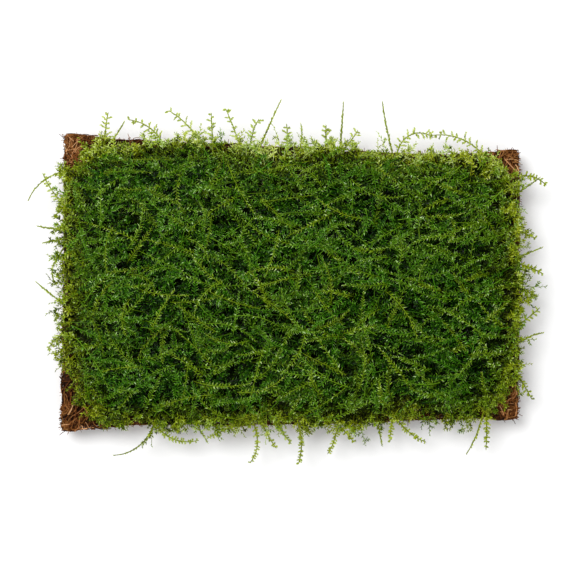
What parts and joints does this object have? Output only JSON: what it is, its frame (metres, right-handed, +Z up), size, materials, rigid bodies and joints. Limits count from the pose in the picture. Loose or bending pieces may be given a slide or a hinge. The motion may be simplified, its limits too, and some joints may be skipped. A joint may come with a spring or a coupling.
{
  "type": "moss mat on a coir pad",
  "caption": "Flat rectangular mat of creeping aquarium or terrarium moss matted over a felted coconut-fibre pad, with stray shoots past its edges.",
  "frame": {"origin": "the middle of the pad's flat underside, on the surface that the mat lies on", "axes": "+X along the pad's length, +Y across it, +Z up through the moss"},
  "size_m": [0.1446, 0.1016, 0.0183],
  "materials": {
    "coir": "matte reddish-brown coconut fibre, felted and damp",
    "moss": "deep green leafy moss with a slight wet sheen",
    "young_moss": "pale yellow-green leafy shoots"
  },
  "bodies": {
    "root": {"coir_pad": "coir", "moss_carpet": "moss", "shoot_left_01": "young_moss", "shoot_left_02": "young_moss", "shoot_left_03": "young_moss", "shoot_left_04": "young_moss", "shoot_left_05": "young_moss", "shoot_left_06": "young_moss", "shoot_left_07": "young_moss", "shoot_lower_01": "young_moss", "shoot_lower_02": "young_moss", "shoot_lower_03": "young_moss", "shoot_lower_04": "young_moss", "shoot_lower_05": "young_moss", "shoot_lower_06": "young_moss", "shoot_lower_07": "young_moss", "shoot_lower_08": "young_moss", "shoot_lower_09": "young_moss", "shoot_lower_10": "young_moss", "shoot_lower_11": "young_moss", "shoot_lower_12": "young_moss", "shoot_lower_13": "young_moss", "shoot_lower_14": "young_moss", "shoot_lower_15": "young_moss", "shoot_right_01": "young_moss", "shoot_right_02": "young_moss", "shoot_right_03": "young_moss", "shoot_right_04": "young_moss", "shoot_right_05": "young_moss", "shoot_right_06": "young_moss", "shoot_right_07": "young_moss", "shoot_right_08": "young_moss", "shoot_right_09": "young_moss", "shoot_upper_01": "young_moss", "shoot_upper_02": "young_moss", "shoot_upper_03": "young_moss", "shoot_upper_04": "young_moss", "shoot_upper_05": "young_moss", "shoot_upper_06": "young_moss", "shoot_upper_07": "young_moss", "shoot_upper_08": "young_moss", "shoot_upper_09": "young_moss", "shoot_upper_10": "young_moss", "shoot_upper_11": "young_moss", "shoot_upper_12": "young_moss", "shoot_upper_13": "young_moss", "shoot_upper_14": "young_moss", "shoot_upper_15": "young_moss", "shoot_upper_16": "young_moss"}
  },
  "joints": []
}
